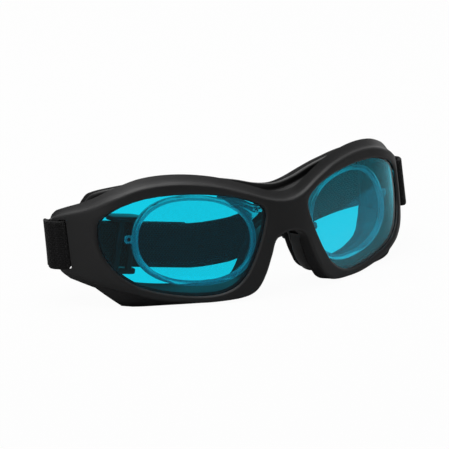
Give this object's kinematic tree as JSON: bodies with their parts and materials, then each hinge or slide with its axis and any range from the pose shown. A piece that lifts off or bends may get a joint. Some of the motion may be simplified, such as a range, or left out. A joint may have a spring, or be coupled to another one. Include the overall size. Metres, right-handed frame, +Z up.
{
  "type": "laser safety goggles",
  "caption": "Wrap-around laser safety goggles: two-part frame, blue filter lenses, clear corrective insert, soft face cushion, nose pads and an adjustable elastic head strap.",
  "frame": {"origin": "on the table under the middle of the goggles, at the bottom centre of their box", "axes": "+X to the wearer's left side as seen by the wearer's own back, along the width; -Y the way the wearer looks; +Z up"},
  "size_m": [0.162, 0.059, 0.0464],
  "materials": {
    "frame_nylon": "fine moulded texture, matt",
    "shell_nylon": "fine moulded texture, matt",
    "cushion_foam": "closed cell foam",
    "pad_rubber": "glossy soft rubber",
    "filter_polycarbonate": "clear cyan tint, polished",
    "seal_rubber": "matt",
    "screw_steel": "zinc plated",
    "carrier_plastic": "clear, polished",
    "demo_lens": "clear, polished",
    "elastic_webbing": "knitted elastic, matt",
    "slider_plastic": "satin moulded"
  },
  "bodies": {
    "goggles": {"front_frame": "frame_nylon", "rear_shell": "shell_nylon", "face_cushion": "cushion_foam", "nose_pad_right": "pad_rubber", "nose_pad_left": "pad_rubber", "filter_lens_right": "filter_polycarbonate", "filter_lens_left": "filter_polycarbonate", "lens_seal_right": "seal_rubber", "lens_seal_left": "seal_rubber", "bridge_screws": "screw_steel", "strap": "elastic_webbing"},
    "insert": {"rx_carrier": "carrier_plastic", "rx_lens_right": "demo_lens", "rx_lens_left": "demo_lens"},
    "slider_right": {"slider_right": "slider_plastic"},
    "slider_left": {"slider_left": "slider_plastic"}
  },
  "joints": [
    {"name": "insert_out", "type": "slide", "parent": "goggles", "child": "insert", "axis": [0, 1, 0], "range_m": [0, 0.014]},
    {"name": "slider_right_slide", "type": "slide", "parent": "goggles", "child": "slider_right", "axis": [-0.9748, -0.1413, -0.1724], "range_m": [0, 0.022]},
    {"name": "slider_left_slide", "type": "slide", "parent": "goggles", "child": "slider_left", "axis": [0.985, 0, -0.1724], "range_m": [0, 0.022]}
  ]
}
